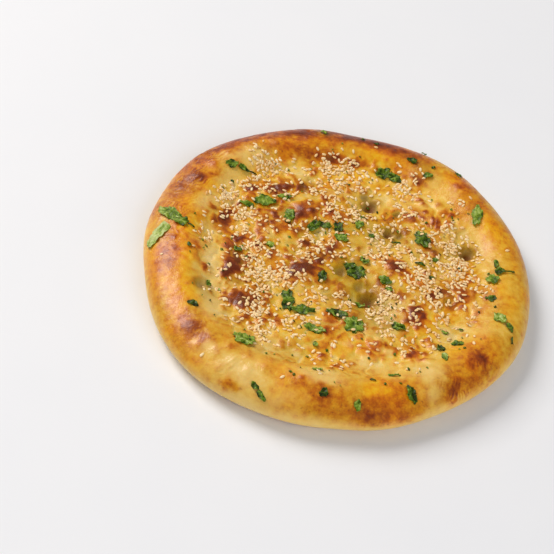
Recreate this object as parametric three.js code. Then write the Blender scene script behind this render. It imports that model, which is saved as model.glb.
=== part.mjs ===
// A round naan lying flat: a puffy rim raised all the way round a lower, blistered middle.
// The bread is one closed solid. Its origin is the centre of its flat underside, and +Z is up.
import * as THREE from "three";

// Driving dimensions, in millimetres
const breadDiameter = 220;
const widestHeight = 8.5; // the side bulges furthest out at this height
const footInset = 14; // the flat underside stops this far inside the widest line
const crestInset = 18.5; // from the widest line in to the top of the rim
const crestHeight = 20;
const innerSlope = 19; // width of the slope from the rim's top down to the middle
const middleHeight = 13.2;

// The rim is broader and puffier on one side. Directions are in degrees from +X towards +Y.
const broadSide = { at: 212, extraInset: 4.5, extraHeight: 1.6 };

// Gentle departures of the hand-stretched outline from a circle
const outlineLobes = [
  { at: 142, out: 3.2, spread: 15 },
  { at: 89, out: -3.0, spread: 13 },
  { at: 58, out: 1.4, spread: 10 },
  { at: 195, out: -2.5, spread: 14 },
  { at: 234, out: 2.4, spread: 18 },
  { at: 277, out: -1.2, spread: 8 },
  { at: 307, out: -1.7, spread: 15 },
  { at: 341, out: 1.2, spread: 11 },
];

// Swellings and slack places along the top of the rim
const rimPuffs = [
  { at: 15, rise: -0.8, spread: 14 },
  { at: 52, rise: 0.9, spread: 16 },
  { at: 108, rise: 1.2, spread: 18 },
  { at: 158, rise: -0.9, spread: 12 },
  { at: 193, rise: 1.3, spread: 17 },
  { at: 240, rise: -0.7, spread: 12 },
  { at: 268, rise: 1.0, spread: 14 },
  { at: 322, rise: 1.2, spread: 15 },
];

// Gas bubbles that lifted the middle, and finger dimples that stayed low
const blisters = [
  { x: -61, y: -17, width: 9, rise: 3.4 },
  { x: -49, y: -38, width: 9, rise: 2.8 },
  { x: -56, y: 43, width: 8, rise: 2.3 },
  { x: -41, y: 51, width: 7, rise: 1.8 },
  { x: -23, y: 37, width: 8, rise: 2.4 },
  { x: -74, y: 18, width: 8, rise: 2.0 },
  { x: -45, y: 17, width: 8, rise: 1.4 },
  { x: -18, y: -8, width: 9, rise: 2.3 },
  { x: -38, y: -1, width: 7, rise: 1.4 },
  { x: 31, y: 6, width: 8, rise: 2.0 },
  { x: 47, y: -27, width: 8, rise: 2.6 },
  { x: 71, y: -10, width: 9, rise: 1.6 },
  { x: 24, y: -56, width: 9, rise: 1.7 },
  { x: 47, y: -57, width: 8, rise: 1.5 },
  { x: 39, y: 74, width: 8, rise: 1.8 },
  { x: 54, y: 52, width: 10, rise: 1.8 },
  { x: -22, y: -58, width: 11, rise: 1.2 },
];
const dimples = [
  { x: 12, y: 51, width: 8, sink: 4.6 },
  { x: 27, y: 31, width: 8, sink: 3.6 },
  { x: 72, y: 28, width: 9, sink: 5.0 },
  { x: 18, y: -19, width: 9, sink: 5.4 },
  { x: 2, y: -3, width: 7, sink: 2.8 },
  { x: -71, y: -33, width: 7, sink: 2.4 },
  { x: 31, y: 48, width: 6, sink: 2.0 },
  { x: -12, y: 22, width: 8, sink: 1.6 },
  { x: 68, y: -22, width: 7, sink: 1.4 },
  { x: -66, y: -52, width: 8, sink: 1.8 },
];

const segments = 112;
const middleRings = 24;
const upperSideRings = 9;
const lowerSideRings = 6;

// A bell of height 1 at distance 0, already low one spread away
function bell(distance, spread) {
  return Math.exp(-((distance / spread) ** 2));
}

function degreesApart(a, b) {
  const turn = (((a - b) % 360) + 540) % 360;
  return turn - 180;
}

function sumAround(list, direction, key) {
  return list.reduce((sum, lobe) => sum + lobe[key] * bell(degreesApart(direction, lobe.at), lobe.spread), 0);
}

function outlineRadius(direction) {
  return breadDiameter / 2 + sumAround(outlineLobes, direction, "out");
}

// The rim's size in one direction, with its broad side taken in
function rimAt(direction) {
  const broad = Math.cos(THREE.MathUtils.degToRad(direction - broadSide.at));
  const radius = outlineRadius(direction);
  return {
    radius,
    crestRadius: radius - crestInset - broadSide.extraInset * broad,
    crest: crestHeight + broadSide.extraHeight * broad + sumAround(rimPuffs, direction, "rise"),
  };
}

function middleRelief(x, y) {
  const raised = blisters.reduce((sum, b) => sum + b.rise * bell(Math.hypot(x - b.x, y - b.y), b.width), 0);
  const sunk = dimples.reduce((sum, d) => sum + d.sink * bell(Math.hypot(x - d.x, y - d.y), d.width), 0);
  return raised - sunk;
}

function point(radius, direction, height) {
  const angle = THREE.MathUtils.degToRad(direction);
  return new THREE.Vector3(radius * Math.cos(angle), radius * Math.sin(angle), height);
}

// A ring of the middle, at a share of the way from the centre out to the rim's top
function middlePoint(direction, share) {
  const rim = rimAt(direction);
  const radius = rim.crestRadius * share;
  const toCrest = 1 - THREE.MathUtils.smoothstep(rim.crestRadius - radius, 0, innerSlope);
  const spot = point(radius, direction, middleHeight + (rim.crest - middleHeight) * toCrest);
  spot.z += middleRelief(spot.x, spot.y);
  return spot;
}

// The side above the widest line, from the rim's top outwards as turn goes from 90 degrees to 0
function upperSidePoint(direction, turn) {
  const rim = rimAt(direction);
  const inset = rim.radius - rim.crestRadius;
  const spot = point(
    rim.crestRadius + inset * Math.cos(turn),
    direction,
    widestHeight + (rim.crest - widestHeight) * Math.sin(turn),
  );
  spot.z += middleRelief(spot.x, spot.y) * Math.sin(turn);
  return spot;
}

// The side below the widest line, down to the flat underside as turn goes from 0 to -90 degrees
function lowerSidePoint(direction, turn) {
  const rim = rimAt(direction);
  return point(rim.radius - footInset * (1 - Math.cos(turn)), direction, widestHeight * (1 + Math.sin(turn)));
}

function ringsOfBread() {
  const quarter = Math.PI / 2;
  const rings = [];
  for (let i = 1; i <= middleRings; i++) rings.push((direction) => middlePoint(direction, i / middleRings));
  for (let i = 1; i <= upperSideRings; i++) {
    rings.push((direction) => upperSidePoint(direction, quarter * (1 - i / upperSideRings)));
  }
  for (let i = 1; i <= lowerSideRings; i++) {
    rings.push((direction) => lowerSidePoint(direction, (-quarter * i) / lowerSideRings));
  }
  return rings;
}

// One closed surface: a fan at the top centre, bands between the rings, and a fan under the flat base
function breadGeometry() {
  const rings = ringsOfBread();
  const positions = [];
  const indices = [];
  const topCentre = 0;
  positions.push(0, 0, middleHeight + middleRelief(0, 0));
  rings.forEach((ring) => {
    for (let s = 0; s < segments; s++) positions.push(...ring((360 * s) / segments).toArray());
  });
  const baseCentre = positions.length / 3;
  positions.push(0, 0, 0);

  const at = (ring, s) => 1 + ring * segments + (s % segments);
  const last = rings.length - 1;
  for (let s = 0; s < segments; s++) {
    indices.push(topCentre, at(0, s), at(0, s + 1));
    for (let ring = 0; ring < last; ring++) {
      indices.push(at(ring, s), at(ring + 1, s), at(ring + 1, s + 1));
      indices.push(at(ring, s), at(ring + 1, s + 1), at(ring, s + 1));
    }
    indices.push(baseCentre, at(last, s + 1), at(last, s));
  }

  const geometry = new THREE.BufferGeometry();
  geometry.setAttribute("position", new THREE.Float32BufferAttribute(positions, 3));
  geometry.setIndex(indices);
  geometry.computeVertexNormals();
  return geometry;
}

const crust = new THREE.MeshStandardMaterial({ color: 0xd9993f, roughness: 0.45, metalness: 0 });

const bread = new THREE.Mesh(breadGeometry(), crust);
bread.name = "bread";

const naan = new THREE.Group();
naan.add(bread);

export default naan;
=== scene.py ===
import bpy
import bmesh
import math
import numpy as np
from mathutils import Matrix, Vector
from mathutils.bvhtree import BVHTree


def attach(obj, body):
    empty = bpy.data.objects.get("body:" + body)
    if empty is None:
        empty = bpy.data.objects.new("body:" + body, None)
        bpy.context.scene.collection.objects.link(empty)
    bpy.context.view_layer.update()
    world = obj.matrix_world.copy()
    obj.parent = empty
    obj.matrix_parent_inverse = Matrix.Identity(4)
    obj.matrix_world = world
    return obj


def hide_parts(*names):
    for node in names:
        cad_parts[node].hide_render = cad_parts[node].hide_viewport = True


# A round naan with sesame and coriander. Numbers in the dictionaries are millimetres and degrees
# unless a note says otherwise, colours are plain 0-255 red, green, blue.
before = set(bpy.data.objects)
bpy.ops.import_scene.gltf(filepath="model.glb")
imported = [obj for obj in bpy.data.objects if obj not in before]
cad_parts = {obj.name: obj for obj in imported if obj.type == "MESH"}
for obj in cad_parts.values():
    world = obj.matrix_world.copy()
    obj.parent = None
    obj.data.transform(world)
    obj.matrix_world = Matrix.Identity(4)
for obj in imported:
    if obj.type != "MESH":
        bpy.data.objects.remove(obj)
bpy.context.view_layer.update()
mm = 0.001

# camera

cameraSetup = {
    "elevation": 48.08,
    "turn": 10.34,              # roll about the line of sight, clockwise in the picture
    "aim": (-31.9, -14.4, 10.0),
    "distance": 900.0,
    "lens": 105.8,
}


def makeCamera(setup):
    # looks along +Y and down at the aim, a long way off with a long lens
    lift = math.radians(setup["elevation"])
    turn = math.radians(setup["turn"])
    back = Vector((0.0, -math.cos(lift), math.sin(lift)))
    level = Vector((1.0, 0.0, 0.0))
    upright = back.cross(level)
    right = level * math.cos(turn) + upright * math.sin(turn)
    up = upright * math.cos(turn) - level * math.sin(turn)
    place = (Vector(setup["aim"]) + back * setup["distance"]) * mm
    data = bpy.data.cameras.new("tableCamera")
    data.lens = setup["lens"]
    data.sensor_width = 36.0
    camera = bpy.data.objects.new("tableCamera", data)
    bpy.context.scene.collection.objects.link(camera)
    camera.matrix_world = Matrix((right, up, back)).transposed().to_4x4()
    camera.location = place
    bpy.context.scene.camera = camera


makeCamera(cameraSetup)
print("camera placed")

# small helpers


def srgb(red, green, blue):
    # plain 0-255 colour to the linear colour that the shader sockets want
    def linear(c):
        c = c / 255.0
        return c / 12.92 if c <= 0.04045 else ((c + 0.055) / 1.055) ** 2.4
    return (linear(red), linear(green), linear(blue), 1.0)


def softNoise(points, size, seed):
    # smooth random values from -1 to 1, one bump about every "size"
    tableLength = 4096
    stepX, stepY, stepZ = 73856093, 19349663, 83492791  # large primes send near cells to far places
    table = np.random.default_rng(seed).uniform(-1.0, 1.0, tableLength)
    cells = points / size
    low = np.floor(cells).astype(np.int64)
    part = cells - low
    part = part * part * (3.0 - 2.0 * part)
    total = np.zeros(len(points))
    for dx in (0, 1):
        for dy in (0, 1):
            for dz in (0, 1):
                ix, iy, iz = low[:, 0] + dx, low[:, 1] + dy, low[:, 2] + dz
                key = (ix * stepX) ^ (iy * stepY) ^ (iz * stepZ)
                share = np.abs(1 - dx - part[:, 0]) * np.abs(1 - dy - part[:, 1])
                share = share * np.abs(1 - dz - part[:, 2])
                total += table[key & (tableLength - 1)] * share
    return total


def layeredNoise(points, size, seed, layers=3):
    # each layer is half as wide and half as strong as the one before
    total = np.zeros(len(points))
    for layer in range(layers):
        total += softNoise(points, size / 2 ** layer, seed + layer) / 2 ** layer
    return total


def smoothStep(value, low, high):
    # 0 below low, 1 above high, and an even turn between
    t = np.clip((value - low) / (high - low), 0.0, 1.0)
    return t * t * (3.0 - 2.0 * t)


def spotWeight(points, x, y, radius, stretch=1.0, heading=0.0):
    # 1 in the middle of a spot, half at its radius; stretch makes it longer along its heading
    halving = 0.69
    a = math.radians(heading)
    dx, dy = points[:, 0] - x, points[:, 1] - y
    along = (dx * math.cos(a) + dy * math.sin(a)) / stretch
    across = -dx * math.sin(a) + dy * math.cos(a)
    return np.exp(-halving * (along ** 2 + across ** 2) / radius ** 2)


def spotsTotal(points, spots):
    # the weights of a whole table of spots, each times its amount
    total = np.zeros(len(points))
    for x, y, size, amount, *form in spots:
        total += amount * spotWeight(points, x, y, size, *form)
    return total


def vertexNormals(points, faces):
    smallest = 1e-12
    a, b, c = points[faces[:, 0]], points[faces[:, 1]], points[faces[:, 2]]
    faceNormal = np.cross(b - a, c - a)
    normals = np.zeros_like(points)
    for corner in range(3):
        np.add.at(normals, faces[:, corner], faceNormal)
    return normals / np.maximum(np.linalg.norm(normals, axis=1, keepdims=True), smallest)


def joined(pieces):
    # several pieces as one: their points, their faces and, where they have them, their painted values
    total = 0
    moved = []
    for points, faces, *paint in pieces:
        moved.append((points, faces + total, *paint))
        total += len(points)
    return [np.concatenate(column) for column in zip(*moved)]


def makePiece(name, points, faces, paint, material):
    # a mesh piece from points in mm, with its painted values kept on the points
    mesh = bpy.data.meshes.new(name)
    mesh.vertices.add(len(points))
    mesh.vertices.foreach_set("co", (points * mm).astype(np.float32).ravel())
    mesh.loops.add(len(faces) * 3)
    mesh.loops.foreach_set("vertex_index", faces.astype(np.int32).ravel())
    mesh.polygons.add(len(faces))
    mesh.polygons.foreach_set("loop_start", np.arange(0, len(faces) * 3, 3, dtype=np.int32))
    mesh.update(calc_edges=True)
    mesh.polygons.foreach_set("use_smooth", np.ones(len(faces), dtype=bool))
    for key, values in paint.items():
        layer = mesh.attributes.new(key, "FLOAT", "POINT")
        layer.data.foreach_set("value", values.astype(np.float32))
    mesh.validate()
    mesh.materials.append(material)
    piece = bpy.data.objects.new(name, mesh)
    bpy.context.scene.collection.objects.link(piece)
    return piece


class NodeSheet:
    # a short way to lay out a material's nodes
    def __init__(self, name):
        self.material = bpy.data.materials.new(name)
        self.material.use_nodes = True
        self.tree = self.material.node_tree
        self.tree.nodes.clear()
        self.shader = self.add("ShaderNodeBsdfPrincipled")
        output = self.add("ShaderNodeOutputMaterial")
        self.link(self.shader.outputs[0], output.inputs["Surface"])
        self.place = self.add("ShaderNodeTexCoord").outputs["Object"]

    def add(self, kind, **settings):
        made = self.tree.nodes.new(kind)
        for key, value in settings.items():
            setattr(made, key, value)
        return made

    def link(self, source, target):
        self.tree.links.new(source, target)

    def put(self, socket, value):
        if isinstance(value, bpy.types.NodeSocket):
            self.link(value, socket)
        else:
            socket.default_value = value

    def painted(self, key):
        return self.add("ShaderNodeAttribute", attribute_name=key).outputs["Fac"]

    def noise(self, size, detail=2.0, stretch=None):
        # size is the width of one blotch in mm
        made = self.add("ShaderNodeTexNoise")
        made.inputs["Scale"].default_value = 1.0 / (size * mm)
        made.inputs["Detail"].default_value = detail
        if stretch is None:
            self.link(self.place, made.inputs["Vector"])
        else:
            mapping = self.add("ShaderNodeMapping")
            mapping.inputs["Scale"].default_value = stretch
            self.link(self.place, mapping.inputs["Vector"])
            self.link(mapping.outputs[0], made.inputs["Vector"])
        return made.outputs["Fac"]

    def maths(self, what, a, b=0.0, clamp=False):
        made = self.add("ShaderNodeMath", operation=what, use_clamp=clamp)
        self.put(made.inputs[0], a)
        self.put(made.inputs[1], b)
        return made.outputs[0]

    def remap(self, value, fromLow, fromHigh, toLow, toHigh):
        made = self.add("ShaderNodeMapRange")
        numbers = (fromLow, fromHigh, toLow, toHigh)
        self.put(made.inputs["Value"], value)
        for key, number in zip(("From Min", "From Max", "To Min", "To Max"), numbers):
            made.inputs[key].default_value = number
        return made.outputs["Result"]

    def ramp(self, value, stops):
        made = self.add("ShaderNodeValToRGB")
        while len(made.color_ramp.elements) < len(stops):
            made.color_ramp.elements.new(0.5)
        for element, (where, colour) in zip(made.color_ramp.elements, stops):
            element.position = where
            element.color = srgb(*colour)
        self.put(made.inputs["Fac"], value)
        return made.outputs["Color"]

    def mix(self, share, first, second, blend="MIX"):
        made = self.add("ShaderNodeMix", data_type="RGBA", blend_type=blend)
        self.put(made.inputs["Factor"], share)
        self.put(made.inputs[6], first)
        self.put(made.inputs[7], second)
        return made.outputs[2]

    def bump(self, height, distance, strength=1.0, under=None):
        made = self.add("ShaderNodeBump")
        made.inputs["Strength"].default_value = strength
        made.inputs["Distance"].default_value = distance * mm
        self.link(height, made.inputs["Height"])
        if under is not None:
            self.link(under, made.inputs["Normal"])
        return made.outputs["Normal"]

    def set(self, **values):
        for key, value in values.items():
            self.put(self.shader.inputs[key.replace("_", " ")], value)


# the crust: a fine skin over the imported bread

crustShape = {
    "spacing": 0.82,            # between points on the top and the sides
    "underSpacing": 4.0,        # the same in the middle of the flat underside
    "underGrowth": 1.45,        # how much wider each ring's spacing is on the way there
    "directions": 480,          # round the bread, in which its profile is read
    "middleSteps": 110,         # readings from the middle to the rim's heart
    "rimSteps": 60,             # readings round the rim
    "steps": 200,               # even steps that each profile is then cut into
    "footAngle": -40.0,         # the rim is read from straight up to this far below level
    "rimDepth": 24.0,           # the rim is read outwards from a circle this far inside the edge
    "rimHeart": 8.5,            # and this high
    "undulation": 0.55,         # soft unevenness all over
    "creases": 0.80,            # folds between the swellings of the middle
    "creaseWidth": 0.28,        # share of the noise that becomes a fold
    "skin": 0.12,               # fine unevenness of the skin
    "bubbles": 620,
    "bubbleReach": 101.0,       # none lies further out than this
    "bubbleSeed": 8,
    "craterLip": 0.22,          # height of the lip round a crater, as a share of its depth
    "wrinkle": 1.5,             # strength of all wrinkles
    "wrinklePeriod": 2.1,
    "wellOutside": 200.0,       # rays start this far from the middle, or this high
    "wellAbove": 60.0,
}

# hollows that baked to craters: x, y, radius, depth
craters = [
    (14.0, 52.0, 4.8, 2.6), (26.5, 32.5, 4.2, 2.4), (72.5, 28.5, 5.0, 3.0), (20.0, -19.5, 5.0, 2.8),
    (2.5, -2.5, 3.6, 1.8), (30.0, 48.5, 2.6, 1.4), (-71.5, -37.0, 4.0, 1.2), (64.0, -12.5, 2.6, 1.1),
    (-17.0, -77.5, 2.0, 0.9), (77.0, -27.0, 2.2, 1.0), (-49.0, -54.0, 2.2, 1.4), (-64.0, 32.0, 2.2, 1.0),
    (14.0, -12.0, 3.2, 1.2), (-26.0, 53.0, 2.6, 1.0), (32.0, 32.5, 3.0, 1.6), (10.0, 57.0, 2.8, 1.2),
]

# patches of the rim where the skin wrinkled as it dried: x, y, radius, heading of the folds, depth
wrinkles = [
    (-94.0, -9.0, 7.0, 70.0, 0.22), (-90.0, 24.0, 8.0, 35.0, 0.16), (-50.0, -88.0, 7.0, 30.0, 0.16),
    (-38.0, -90.0, 6.0, -35.0, 0.14), (84.0, -57.0, 8.0, 80.0, 0.14), (71.0, -76.0, 6.0, 95.0, 0.20),
    (-28.0, 93.0, 12.0, 5.0, 0.14), (26.0, -98.0, 7.0, 80.0, 0.12), (-72.0, -70.0, 8.0, 60.0, 0.12),
    (92.0, 40.0, 10.0, 120.0, 0.10), (-90.0, 41.0, 8.0, 60.0, 0.42), (-82.0, 61.0, 8.0, 35.0, 0.42),
    (-96.0, 11.0, 7.0, 75.0, 0.34),
]

# small knobs where gas lifted the skin of the rim: x, y, radius, height
rimLumps = [
    (-60.0, -75.0, 3.2, 0.9), (-66.0, -79.0, 2.6, 0.7), (-55.0, -82.0, 3.4, 1.0), (-49.0, -78.0, 2.8, 0.8),
    (-47.0, -87.0, 3.2, 0.9), (-40.0, -83.0, 2.6, 0.6), (-53.0, -90.0, 2.6, 0.7), (-39.0, -91.0, 3.0, 0.7),
    (-72.0, -68.0, 4.0, 0.8), (-29.0, -86.0, 3.6, 0.7), (-88.0, 44.0, 4.4, 0.8), (-79.0, 56.0, 4.0, 0.9),
    (-71.0, 66.0, 4.2, 0.8), (-60.0, 74.0, 3.8, 0.8), (-46.0, 82.0, 4.0, 0.7), (-94.0, -34.0, 5.0, 0.6),
    (-93.0, 12.0, 5.0, 0.6), (14.0, -88.0, 6.0, 0.9), (-8.0, -89.0, 5.0, 0.8), (36.0, -87.0, 6.0, 0.8),
    (62.0, -72.0, 5.0, 0.9), (78.0, -58.0, 5.0, 0.8), (88.0, -36.0, 5.0, 0.6), (84.0, 52.0, 5.0, 0.7),
    (66.0, 71.0, 5.0, 0.8), (22.0, 88.0, 5.0, 0.6), (-8.0, 91.0, 5.0, 0.6), (-28.0, 88.0, 4.0, 0.6),
]


def smoothBreadTree():
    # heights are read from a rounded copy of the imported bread; the copy is deleted again
    copy = bmesh.new()
    copy.from_mesh(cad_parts["bread"].data)
    bmesh.ops.remove_doubles(copy, verts=copy.verts, dist=1e-6)
    flat = math.radians(60.0)
    bmesh.ops.join_triangles(
        copy, faces=copy.faces, angle_face_threshold=flat, angle_shape_threshold=flat, cmp_seam=False,
        cmp_sharp=False, cmp_uvs=False, cmp_vcols=False, cmp_materials=False,
    )
    mesh = bpy.data.meshes.new("roundedCopy")
    copy.to_mesh(mesh)
    copy.free()
    rounded = bpy.data.objects.new("roundedCopy", mesh)
    bpy.context.scene.collection.objects.link(rounded)
    rounding = rounded.modifiers.new("rounding", "SUBSURF")
    rounding.levels = 2
    evaluated = rounded.evaluated_get(bpy.context.evaluated_depsgraph_get())
    points = [v.co / mm for v in evaluated.data.vertices]
    tree = BVHTree.FromPolygons(points, [tuple(p.vertices) for p in evaluated.data.polygons])
    bpy.data.objects.remove(rounded)
    bpy.data.meshes.remove(mesh)
    return tree


def breadProfiles(tree, shape):
    # for each direction, the skin's radius and height at even steps from the middle to the base edge
    directions, steps = shape["directions"], shape["steps"]
    down = Vector((0.0, 0.0, -1.0))
    profiles = np.zeros((directions, steps, 2))
    lengths = np.zeros(directions)
    for k in range(directions):
        a = 2.0 * math.pi * k / directions
        outward = Vector((math.cos(a), math.sin(a), 0.0))
        # the edge is found from outside, as some hollows of the middle are deeper than the rim's heart
        outside = outward * shape["wellOutside"] + Vector((0.0, 0.0, shape["rimHeart"]))
        edge = tree.ray_cast(outside, -outward)[0]
        reach = math.hypot(edge.x, edge.y) - shape["rimDepth"]
        line = []
        for i in range(shape["middleSteps"]):
            along = outward * (reach * i / shape["middleSteps"])
            line.append(tree.ray_cast(along + Vector((0.0, 0.0, shape["wellAbove"])), down)[0])
        heart = outward * reach + Vector((0.0, 0.0, shape["rimHeart"]))
        for turn in np.linspace(90.0, shape["footAngle"], shape["rimSteps"]):
            t = math.radians(turn)
            aim = outward * math.cos(t) + Vector((0.0, 0.0, math.sin(t)))
            line.append(tree.ray_cast(heart, aim)[0])
        flatLine = np.array([(math.hypot(p.x, p.y), p.z) for p in line])
        walked = np.concatenate(([0.0], np.cumsum(np.linalg.norm(np.diff(flatLine, axis=0), axis=1))))
        even = np.linspace(0.0, walked[-1], steps)
        profiles[k, :, 0] = np.interp(even, walked, flatLine[:, 0])
        profiles[k, :, 1] = np.interp(even, walked, flatLine[:, 1])
        lengths[k] = walked[-1]
    return profiles, lengths.mean()


def ringAt(profiles, share, spacing, stagger):
    # one ring of points round the bread, a share of the way from the middle to the base edge
    directions, steps, _ = profiles.shape
    where = share * (steps - 1)
    low = min(int(where), steps - 2)
    line = profiles[:, low] * (1.0 - where + low) + profiles[:, low + 1] * (where - low)
    count = max(6, round(2.0 * math.pi * line[:, 0].mean() / spacing))
    angles = 2.0 * math.pi * (np.arange(count) + 0.5 * stagger) / count
    turn = angles / (2.0 * math.pi) * directions
    first = np.floor(turn).astype(int) % directions
    part = (turn - np.floor(turn))[:, None]
    spot = line[first] * (1.0 - part) + line[(first + 1) % directions] * part
    points = np.stack((spot[:, 0] * np.cos(angles), spot[:, 0] * np.sin(angles), spot[:, 1]), axis=1)
    return points, angles


def joinRings(before, after, faces):
    # triangles between two rings with different numbers of points, taken in order of their angles
    (startA, anglesA), (startB, anglesB) = before, after
    countA, countB = len(anglesA), len(anglesB)
    nextA = list(anglesA[1:]) + [anglesA[0] + 2.0 * math.pi]
    nextB = list(anglesB[1:]) + [anglesB[0] + 2.0 * math.pi]
    i = j = 0
    while i < countA or j < countB:
        a, b = startA + i % countA, startB + j % countB
        if j >= countB or (i < countA and nextA[i] <= nextB[j]):
            faces.append((a, b, startA + (i + 1) % countA))
            i += 1
        else:
            faces.append((a, b, startB + (j + 1) % countB))
            j += 1


def breadSkin(shape):
    profiles, length = breadProfiles(smoothBreadTree(), shape)
    rings = []
    ringCount = round(length / shape["spacing"])
    for i in range(1, ringCount + 1):
        rings.append(ringAt(profiles, i / ringCount, shape["spacing"], i % 2))
    # the underside: flat rings that grow coarser towards the centre
    footPoints, footAngles = rings[-1]
    footRadius = np.hypot(footPoints[:, 0], footPoints[:, 1])
    spacing = shape["spacing"]
    radius = footRadius.mean()
    inset = 0.0
    while radius - inset > shape["underSpacing"]:
        spacing = min(spacing * shape["underGrowth"], shape["underSpacing"])
        inset += spacing
        count = max(6, round(2.0 * math.pi * (radius - inset) / spacing))
        angles = 2.0 * math.pi * (np.arange(count) + 0.5 * (len(rings) % 2)) / count
        foot = np.interp(angles, footAngles, footRadius, period=2.0 * math.pi)
        reach = foot * (1.0 - inset / radius)
        ring = np.stack((reach * np.cos(angles), reach * np.sin(angles), np.zeros(count)), axis=1)
        rings.append((ring, angles))
    points = [np.array([[0.0, 0.0, profiles[:, 0, 1].mean()]])]
    starts = []
    total = 1
    for ringPoints, angles in rings:
        points.append(ringPoints)
        starts.append((total, angles))
        total += len(ringPoints)
    points.append(np.zeros((1, 3)))
    faces = []
    count = len(starts[0][1])
    for k in range(count):
        faces.append((0, 1 + k, 1 + (k + 1) % count))
    for before, after in zip(starts[:-1], starts[1:]):
        joinRings(before, after, faces)
    start, angles = starts[-1]
    for k in range(len(angles)):
        faces.append((start + k, total, start + (k + 1) % len(angles)))
    return np.concatenate(points), np.array(faces)


def neighbourAverage(values, faces, times):
    # smooths values on the points over the mesh, so what stands proud of its surroundings can be found
    pull = 0.6
    edges = np.concatenate((faces[:, [0, 1]], faces[:, [1, 2]], faces[:, [2, 0]]))
    count = np.bincount(edges[:, 0], minlength=len(values)).astype(float)
    for _ in range(times):
        total = np.zeros_like(values)
        for column in range(values.shape[1]):
            weights = values[edges[:, 1], column]
            total[:, column] = np.bincount(edges[:, 0], weights=weights, minlength=len(values))
        values = (1.0 - pull) * values + pull * total / count[:, None]
    return values


def addBubbles(rise, points, shape):
    # small gas bubbles, smaller and flatter on the rim
    onRim = 82.0
    draw = np.random.default_rng(shape["bubbleSeed"])
    for _ in range(shape["bubbles"]):
        reach = shape["bubbleReach"] * math.sqrt(draw.uniform(0.0, 1.0))
        turn = draw.uniform(0.0, 2.0 * math.pi)
        size = draw.uniform(1.3, 4.6) if reach < onRim else draw.uniform(1.2, 3.0)
        height = size * draw.uniform(0.08, 0.25) * (1.0 if reach < onRim else 0.4)
        x, y = reach * math.cos(turn), reach * math.sin(turn)
        near = np.abs(points[:, :2] - (x, y)).max(axis=1) < size
        span = np.hypot(points[near, 0] - x, points[near, 1] - y) / size
        rise[near] += height * np.clip(1.0 - span ** 2, 0.0, 1.0) ** 1.5


def craterSpan(points, x, y, size, ragged, grain, seed):
    # distance from a crater's middle, 1 at its radius, with an uneven edge
    span = np.hypot(points[:, 0] - x, points[:, 1] - y) / size
    return span * (1.0 + ragged * softNoise(points, grain, seed))


def addCraters(rise, points, shape):
    for x, y, size, depth in craters:
        span = craterSpan(points, x, y, size, 0.25, 4.0, 31)
        rise -= depth * (1.0 - smoothStep(span, 0.25, 1.15))
        rise += shape["craterLip"] * depth * np.exp(-((span - 1.35) / 0.28) ** 2)


def addWrinkles(rise, points, shape):
    # broken, wavering folds
    for x, y, size, heading, depth in wrinkles:
        a = math.radians(heading)
        across = -points[:, 0] * math.sin(a) + points[:, 1] * math.cos(a)
        across += 2.6 * softNoise(points, 5.5, 41) + 0.8 * softNoise(points, 2.4, 42)
        broken = np.clip(0.5 + 0.9 * softNoise(points, 3.6, 43), 0.0, 1.0)
        folds = np.sin(across * 2.0 * math.pi / shape["wrinklePeriod"])
        rise += shape["wrinkle"] * depth * folds * spotWeight(points, x, y, size) * broken


def addRelief(points, faces, shape):
    # swellings, creases, gas bubbles, craters, knobs and wrinkles, all along the skin's own normals
    normals = vertexNormals(points, faces)
    radius = np.hypot(points[:, 0], points[:, 1])
    topSide = smoothStep(normals[:, 2], -0.2, 0.35)
    middle = 1.0 - smoothStep(radius, 74.0, 92.0)
    rise = shape["undulation"] * (softNoise(points, 21.0, 3) + 0.6 * softNoise(points, 11.0, 4))
    rise *= 0.45 + 0.55 * middle
    fold = 1.0 - np.abs(layeredNoise(points, 9.0, 11, 2))
    rise -= shape["creases"] * np.clip(fold - (1.0 - shape["creaseWidth"]), 0.0, 1.0) * 3.0 * middle
    rise += shape["skin"] * layeredNoise(points, 3.2, 21, 2) * (0.5 + 0.5 * middle)
    addBubbles(rise, points, shape)
    addCraters(rise, points, shape)
    for x, y, size, high in rimLumps:
        rise += high * spotWeight(points, x, y, size)
    addWrinkles(rise, points, shape)
    points = points + normals * (rise * topSide)[:, None]
    points[:, 2] = np.maximum(points[:, 2], 0.0)
    return points


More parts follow.
